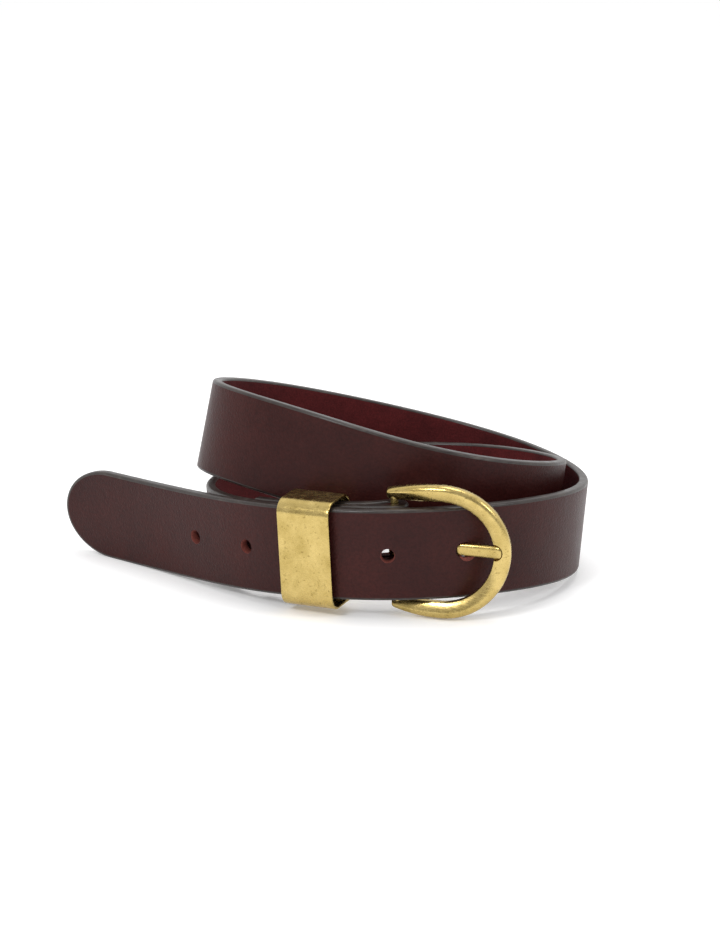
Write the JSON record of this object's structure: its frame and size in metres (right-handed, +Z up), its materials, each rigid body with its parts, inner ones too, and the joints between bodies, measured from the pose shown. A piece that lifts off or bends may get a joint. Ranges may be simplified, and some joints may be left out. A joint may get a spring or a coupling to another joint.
{
  "type": "leather belt",
  "caption": "Coiled dress belt in smooth oxblood leather, buckled on its last hole, with a brass horseshoe buckle and keeper.",
  "frame": {"origin": "on the surface it stands on, under the middle of its bounding box", "axes": "+Z up, -Y towards the buckle's face, +X towards the buckle's round end"},
  "size_m": [0.2048, 0.1373, 0.0753],
  "materials": {
    "leather": "satin",
    "brass": "satin"
  },
  "bodies": {
    "strap": {"strap": "leather", "screw_post_1": "brass", "screw_1": "brass", "screw_post_2": "brass", "screw_2": "brass"},
    "buckle": {"buckle_frame": "brass", "bar": "brass"},
    "prong": {"prong": "brass"},
    "keeper": {"keeper": "brass"}
  },
  "joints": [
    {"name": "buckle_hinge", "type": "hinge", "parent": "strap", "child": "buckle", "pos_m": [0.02785, -0.05585, 0.02557], "axis": [0.0463, 0.0421, -0.998], "range_deg": [-0.5, 0.8]},
    {"name": "prong_hinge", "type": "hinge", "parent": "buckle", "child": "prong", "pos_m": [0.02785, -0.05585, 0.02557], "axis": [0.0463, 0.0421, -0.998], "range_deg": [-0.2, 0.6]},
    {"name": "keeper_slide", "type": "slide", "parent": "strap", "child": "keeper", "axis": [0.897, -0.4378, 0.0611], "range_m": [-0.0015, 0.0015]}
  ]
}
